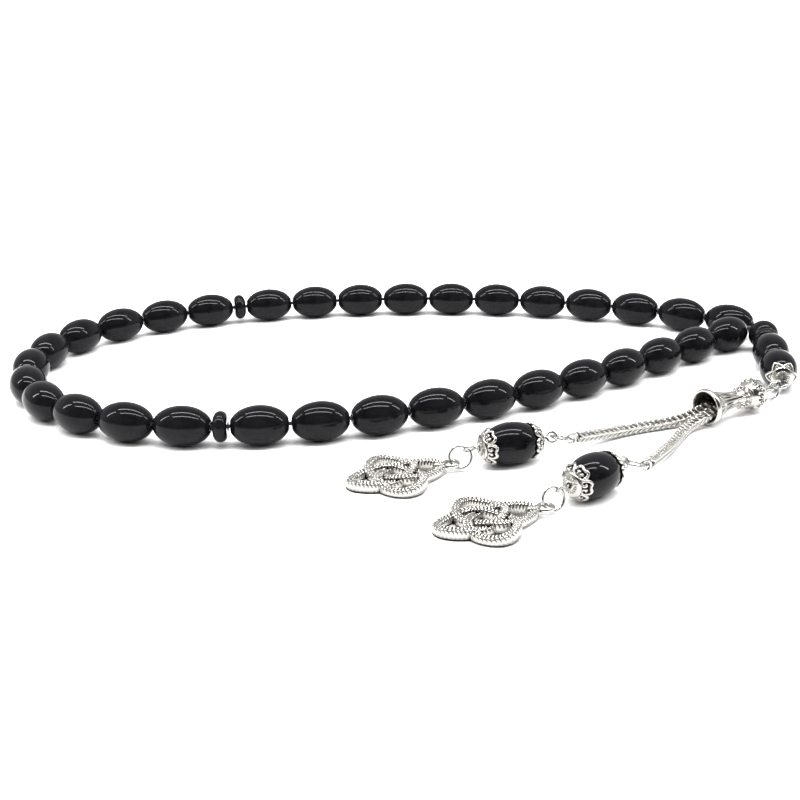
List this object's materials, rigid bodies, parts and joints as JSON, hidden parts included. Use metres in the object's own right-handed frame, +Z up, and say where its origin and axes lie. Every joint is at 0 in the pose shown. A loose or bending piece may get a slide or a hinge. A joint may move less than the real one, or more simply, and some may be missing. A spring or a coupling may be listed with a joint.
{
  "type": "misbaha prayer beads",
  "caption": "Looped string of polished black barrel prayer beads with spacer discs, a leader, and a silver tassel of two chains, capped pendant beads and knot charms.",
  "frame": {"origin": "under the middle of the whole strand as it lies, on the table top", "axes": "+X along the long way of the strand, towards the leader and its tassel; +Z up from the table; +Y away from the pendants, towards the back row"},
  "size_m": [0.175, 0.1367, 0.008],
  "materials": {
    "black_stone": "highly polished",
    "antique_silver": "cast and drawn silver colour, dark in its recesses",
    "cord": "braided"
  },
  "bodies": {
    "string": {"string": "cord"},
    "leader_loop": {"leader_loop": "antique_silver"},
    "link_ring": {"link_ring": "antique_silver"},
    "holder_pin": {"holder_pin": "antique_silver", "chain_tops": "antique_silver"},
    "tassel_holder": {"tassel_holder": "antique_silver"},
    "chain_1": {"chain_1": "antique_silver"},
    "end_ring_1": {"end_ring_1": "antique_silver"},
    "pendant_pin_1": {"pendant_pin_1": "antique_silver"},
    "pendant_bead_1": {"pendant_bead_1": "black_stone", "pendant_caps_1": "antique_silver"},
    "jump_ring_1": {"jump_ring_1": "antique_silver"},
    "charm_1": {"charm_1": "antique_silver"},
    "chain_2": {"chain_2": "antique_silver"},
    "end_ring_2": {"end_ring_2": "antique_silver"},
    "pendant_pin_2": {"pendant_pin_2": "antique_silver"},
    "pendant_bead_2": {"pendant_bead_2": "black_stone", "pendant_caps_2": "antique_silver"},
    "jump_ring_2": {"jump_ring_2": "antique_silver"},
    "charm_2": {"charm_2": "antique_silver"},
    "guru_bead": {"guru_bead": "black_stone"},
    "spacer_disc_3": {"spacer_disc_3": "black_stone"},
    "leader_bead_1": {"leader_bead_1": "black_stone"},
    "leader_bead_2": {"leader_bead_2": "black_stone", "leader_cap": "antique_silver"},
    "bead_01": {"bead_01": "black_stone"},
    "bead_02": {"bead_02": "black_stone"},
    "bead_03": {"bead_03": "black_stone"},
    "bead_04": {"bead_04": "black_stone"},
    "bead_05": {"bead_05": "black_stone"},
    "bead_06": {"bead_06": "black_stone"},
    "bead_07": {"bead_07": "black_stone"},
    "bead_08": {"bead_08": "black_stone"},
    "bead_09": {"bead_09": "black_stone"},
    "bead_10": {"bead_10": "black_stone"},
    "bead_11": {"bead_11": "black_stone"},
    "spacer_disc_1": {"spacer_disc_1": "black_stone"},
    "bead_12": {"bead_12": "black_stone"},
    "bead_13": {"bead_13": "black_stone"},
    "bead_14": {"bead_14": "black_stone"},
    "bead_15": {"bead_15": "black_stone"},
    "bead_16": {"bead_16": "black_stone"},
    "bead_17": {"bead_17": "black_stone"},
    "bead_18": {"bead_18": "black_stone"},
    "bead_19": {"bead_19": "black_stone"},
    "bead_20": {"bead_20": "black_stone"},
    "bead_21": {"bead_21": "black_stone"},
    "bead_22": {"bead_22": "black_stone"},
    "spacer_disc_2": {"spacer_disc_2": "black_stone"},
    "bead_23": {"bead_23": "black_stone"},
    "bead_24": {"bead_24": "black_stone"},
    "bead_25": {"bead_25": "black_stone"},
    "bead_26": {"bead_26": "black_stone"},
    "bead_27": {"bead_27": "black_stone"},
    "bead_28": {"bead_28": "black_stone"},
    "bead_29": {"bead_29": "black_stone"},
    "bead_30": {"bead_30": "black_stone"},
    "bead_31": {"bead_31": "black_stone"},
    "bead_32": {"bead_32": "black_stone"},
    "bead_33": {"bead_33": "black_stone"}
  },
  "joints": [
    {"name": "leader_loop_swing", "type": "hinge", "parent": "string", "child": "leader_loop", "pos_m": [0.07905, -0.0031, 0.00377], "axis": [0, 0, 1], "range_deg": [-1, 20]},
    {"name": "link_ring_swing", "type": "hinge", "parent": "leader_loop", "child": "link_ring", "pos_m": [0.0783, -0.00456, 0.00344], "axis": [0, 0, 1], "range_deg": [-0.5, 20]},
    {"name": "holder_pin_swing", "type": "hinge", "parent": "link_ring", "child": "holder_pin", "pos_m": [0.07505, -0.00709, 0.00363], "axis": [0, 0, 1], "range_deg": [-0.5, 20]},
    {"name": "holder_spin", "type": "hinge", "parent": "holder_pin", "child": "tassel_holder", "pos_m": [0.0595, -0.0171, 0.00375], "axis": [0.8453, 0.5344, 0], "continuous": true},
    {"name": "chain_1_swing", "type": "hinge", "parent": "holder_pin", "child": "chain_1", "pos_m": [0.05813, -0.01661, 0.0024], "axis": [0, 0, 1], "range_deg": [-1, 3]},
    {"name": "end_ring_1_swing", "type": "hinge", "parent": "chain_1", "child": "end_ring_1", "pos_m": [0.031, -0.03022, 0.00302], "axis": [0, 0, 1], "range_deg": [-2, 4]},
    {"name": "pendant_pin_1_swing", "type": "hinge", "parent": "end_ring_1", "child": "pendant_pin_1", "pos_m": [0.02727, -0.03161, 0.00398], "axis": [0, 0, 1], "range_deg": [-2, 4]},
    {"name": "pendant_bead_1_spin", "type": "hinge", "parent": "pendant_pin_1", "child": "pendant_bead_1", "pos_m": [0.01926, -0.03421, 0.004], "axis": [0.9511, 0.309, 0], "continuous": true},
    {"name": "jump_ring_1_swing", "type": "hinge", "parent": "pendant_pin_1", "child": "jump_ring_1", "pos_m": [0.01123, -0.03686, 0.00394], "axis": [0, 0, 1], "range_deg": [-4, 2]},
    {"name": "charm_1_swing", "type": "hinge", "parent": "jump_ring_1", "child": "charm_1", "pos_m": [0.00799, -0.03755, 0.00153], "axis": [0, 0, 1], "range_deg": [-4, 6]},
    {"name": "chain_2_swing", "type": "hinge", "parent": "holder_pin", "child": "chain_2", "pos_m": [0.05935, -0.01855, 0.0024], "axis": [0, 0, 1], "range_deg": [-2, 12]},
    {"name": "end_ring_2_swing", "type": "hinge", "parent": "chain_2", "child": "end_ring_2", "pos_m": [0.04268, -0.04317, 0.003], "axis": [0, 0, 1], "range_deg": [-3, 12]},
    {"name": "pendant_pin_2_swing", "type": "hinge", "parent": "end_ring_2", "child": "pendant_pin_2", "pos_m": [0.03878, -0.04398, 0.00398], "axis": [0, 0, 1], "range_deg": [-4, 12]},
    {"name": "pendant_bead_2_spin", "type": "hinge", "parent": "pendant_pin_2", "child": "pendant_bead_2", "pos_m": [0.03231, -0.04936, 0.004], "axis": [0.766, 0.6428, 0], "continuous": true},
    {"name": "jump_ring_2_swing", "type": "hinge", "parent": "pendant_pin_2", "child": "jump_ring_2", "pos_m": [0.02585, -0.05482, 0.00394], "axis": [0, 0, 1], "range_deg": [-5, 2]},
    {"name": "charm_2_swing", "type": "hinge", "parent": "jump_ring_2", "child": "charm_2", "pos_m": [0.02311, -0.05668, 0.00153], "axis": [0, 0, 1], "range_deg": [-6, 15]},
    {"name": "spin_guru_bead", "type": "hinge", "parent": "string", "child": "guru_bead", "pos_m": [0.08411, 0.02844, 0.004], "axis": [-0.1478, -0.989, 0], "continuous": true},
    {"name": "spin_spacer_disc_3", "type": "hinge", "parent": "string", "child": "spacer_disc_3", "pos_m": [0.08337, 0.02349, 0.004], "axis": [-0.1478, -0.989, 0], "continuous": true},
    {"name": "spin_leader_bead_1", "type": "hinge", "parent": "string", "child": "leader_bead_1", "pos_m": [0.08228, 0.01617, 0.004], "axis": [-0.1478, -0.989, 0], "continuous": true},
    {"name": "spin_leader_bead_2", "type": "hinge", "parent": "string", "child": "leader_bead_2", "pos_m": [0.08055, 0.0046, 0.004], "axis": [-0.1478, -0.989, 0], "continuous": true},
    {"name": "spin_bead_01", "type": "hinge", "parent": "string", "child": "bead_01", "pos_m": [0.07582, 0.02963, 0.004], "axis": [-0.787, -0.617, 0], "continuous": true},
    {"name": "spin_bead_02", "type": "hinge", "parent": "string", "child": "bead_02", "pos_m": [0.06647, 0.02226, 0.004], "axis": [-0.7833, -0.6217, 0], "continuous": true},
    {"name": "spin_bead_03", "type": "hinge", "parent": "string", "child": "bead_03", "pos_m": [0.05712, 0.0149, 0.004], "axis": [-0.7888, -0.6147, 0], "continuous": true},
    {"name": "spin_bead_04", "type": "hinge", "parent": "string", "child": "bead_04", "pos_m": [0.04763, 0.00772, 0.004], "axis": [-0.806, -0.592, 0], "continuous": true},
    {"name": "spin_bead_05", "type": "hinge", "parent": "string", "child": "bead_05", "pos_m": [0.03786, 0.00094, 0.004], "axis": [-0.8365, -0.548, 0], "continuous": true},
    {"name": "spin_bead_06", "type": "hinge", "parent": "string", "child": "bead_06", "pos_m": [0.02766, -0.00518, 0.004], "axis": [-0.8769, -0.4807, 0], "continuous": true},
    {"name": "spin_bead_07", "type": "hinge", "parent": "string", "child": "bead_07", "pos_m": [0.01701, -0.01045, 0.004], "axis": [-0.9142, -0.4052, 0], "continuous": true},
    {"name": "spin_bead_08", "type": "hinge", "parent": "string", "child": "bead_08", "pos_m": [0.00597, -0.01487, 0.004], "axis": [-0.941, -0.3385, 0], "continuous": true},
    {"name": "spin_bead_09", "type": "hinge", "parent": "string", "child": "bead_09", "pos_m": [-0.00535, -0.01853, 0.004], "axis": [-0.961, -0.2766, 0], "continuous": true},
    {"name": "spin_bead_10", "type": "hinge", "parent": "string", "child": "bead_10", "pos_m": [-0.01691, -0.02132, 0.004], "axis": [-0.9815, -0.1914, 0], "continuous": true},
    {"name": "spin_bead_11", "type": "hinge", "parent": "string", "child": "bead_11", "pos_m": [-0.02868, -0.02289, 0.004], "axis": [-0.9974, -0.0723, 0], "continuous": true},
    {"name": "spin_spacer_disc_1", "type": "hinge", "parent": "string", "child": "spacer_disc_1", "pos_m": [-0.03626, -0.02329, 0.004], "axis": [-0.9998, 0.0196, 0], "continuous": true},
    {"name": "spin_bead_12", "type": "hinge", "parent": "string", "child": "bead_12", "pos_m": [-0.04382, -0.0225, 0.004], "axis": [-0.9918, 0.1274, 0], "continuous": true},
    {"name": "spin_bead_13", "type": "hinge", "parent": "string", "child": "bead_13", "pos_m": [-0.05536, -0.01985, 0.004], "axis": [-0.9482, 0.3176, 0], "continuous": true},
    {"name": "spin_bead_14", "type": "hinge", "parent": "string", "child": "bead_14", "pos_m": [-0.06604, -0.0148, 0.004], "axis": [-0.8474, 0.531, 0], "continuous": true},
    {"name": "spin_bead_15", "type": "hinge", "parent": "string", "child": "bead_15", "pos_m": [-0.07493, -0.0071, 0.004], "axis": [-0.6457, 0.7636, 0], "continuous": true},
    {"name": "spin_bead_16", "type": "hinge", "parent": "string", "child": "bead_16", "pos_m": [-0.08092, 0.00299, 0.004], "axis": [-0.3621, 0.9321, 0], "continuous": true},
    {"name": "spin_bead_17", "type": "hinge", "parent": "string", "child": "bead_17", "pos_m": [-0.08349, 0.01448, 0.004], "axis": [-0.0697, 0.9976, 0], "continuous": true},
    {"name": "spin_bead_18", "type": "hinge", "parent": "string", "child": "bead_18", "pos_m": [-0.08252, 0.0262, 0.004], "axis": [0.2336, 0.9723, 0], "continuous": true},
    {"name": "spin_bead_19", "type": "hinge", "parent": "string", "child": "bead_19", "pos_m": [-0.07788, 0.03696, 0.004], "axis": [0.5466, 0.8374, 0], "continuous": true},
    {"name": "spin_bead_20", "type": "hinge", "parent": "string", "child": "bead_20", "pos_m": [-0.07006, 0.04577, 0.004], "axis": [0.7668, 0.6419, 0], "continuous": true},
    {"name": "spin_bead_21", "type": "hinge", "parent": "string", "child": "bead_21", "pos_m": [-0.06025, 0.05239, 0.004], "axis": [0.8819, 0.4715, 0], "continuous": true},
    {"name": "spin_bead_22", "type": "hinge", "parent": "string", "child": "bead_22", "pos_m": [-0.04939, 0.05716, 0.004], "axis": [0.9441, 0.3297, 0], "continuous": true},
    {"name": "spin_spacer_disc_2", "type": "hinge", "parent": "string", "child": "spacer_disc_2", "pos_m": [-0.04217, 0.05954, 0.004], "axis": [0.967, 0.255, 0], "continuous": true},
    {"name": "spin_bead_23", "type": "hinge", "parent": "string", "child": "bead_23", "pos_m": [-0.03475, 0.06115, 0.004], "axis": [0.9798, 0.2, 0], "continuous": true},
    {"name": "spin_bead_24", "type": "hinge", "parent": "string", "child": "bead_24", "pos_m": [-0.02302, 0.06309, 0.004], "axis": [0.992, 0.1263, 0], "continuous": true},
    {"name": "spin_bead_25", "type": "hinge", "parent": "string", "child": "bead_25", "pos_m": [-0.01117, 0.06416, 0.004], "axis": [0.9986, 0.0538, 0], "continuous": true},
    {"name": "spin_bead_26", "type": "hinge", "parent": "string", "child": "bead_26", "pos_m": [0.00072, 0.06437, 0.004], "axis": [0.9998, -0.0186, 0], "continuous": true},
    {"name": "spin_bead_27", "type": "hinge", "parent": "string", "child": "bead_27", "pos_m": [0.01259, 0.06371, 0.004], "axis": [0.9957, -0.093, 0], "continuous": true},
    {"name": "spin_bead_28", "type": "hinge", "parent": "string", "child": "bead_28", "pos_m": [0.02438, 0.06214, 0.004], "axis": [0.9853, -0.1709, 0], "continuous": true},
    {"name": "spin_bead_29", "type": "hinge", "parent": "string", "child": "bead_29", "pos_m": [0.036, 0.05962, 0.004], "axis": [0.9678, -0.2519, 0], "continuous": true},
    {"name": "spin_bead_30", "type": "hinge", "parent": "string", "child": "bead_30", "pos_m": [0.04736, 0.05613, 0.004], "axis": [0.9421, -0.3353, 0], "continuous": true},
    {"name": "spin_bead_31", "type": "hinge", "parent": "string", "child": "bead_31", "pos_m": [0.05836, 0.05163, 0.004], "axis": [0.9071, -0.4209, 0], "continuous": true},
    {"name": "spin_bead_32", "type": "hinge", "parent": "string", "child": "bead_32", "pos_m": [0.06892, 0.04616, 0.004], "axis": [0.867, -0.4983, 0], "continuous": true},
    {"name": "spin_bead_33", "type": "hinge", "parent": "string", "child": "bead_33", "pos_m": [0.07902, 0.03989, 0.004], "axis": [0.8312, -0.556, 0], "continuous": true}
  ]
}
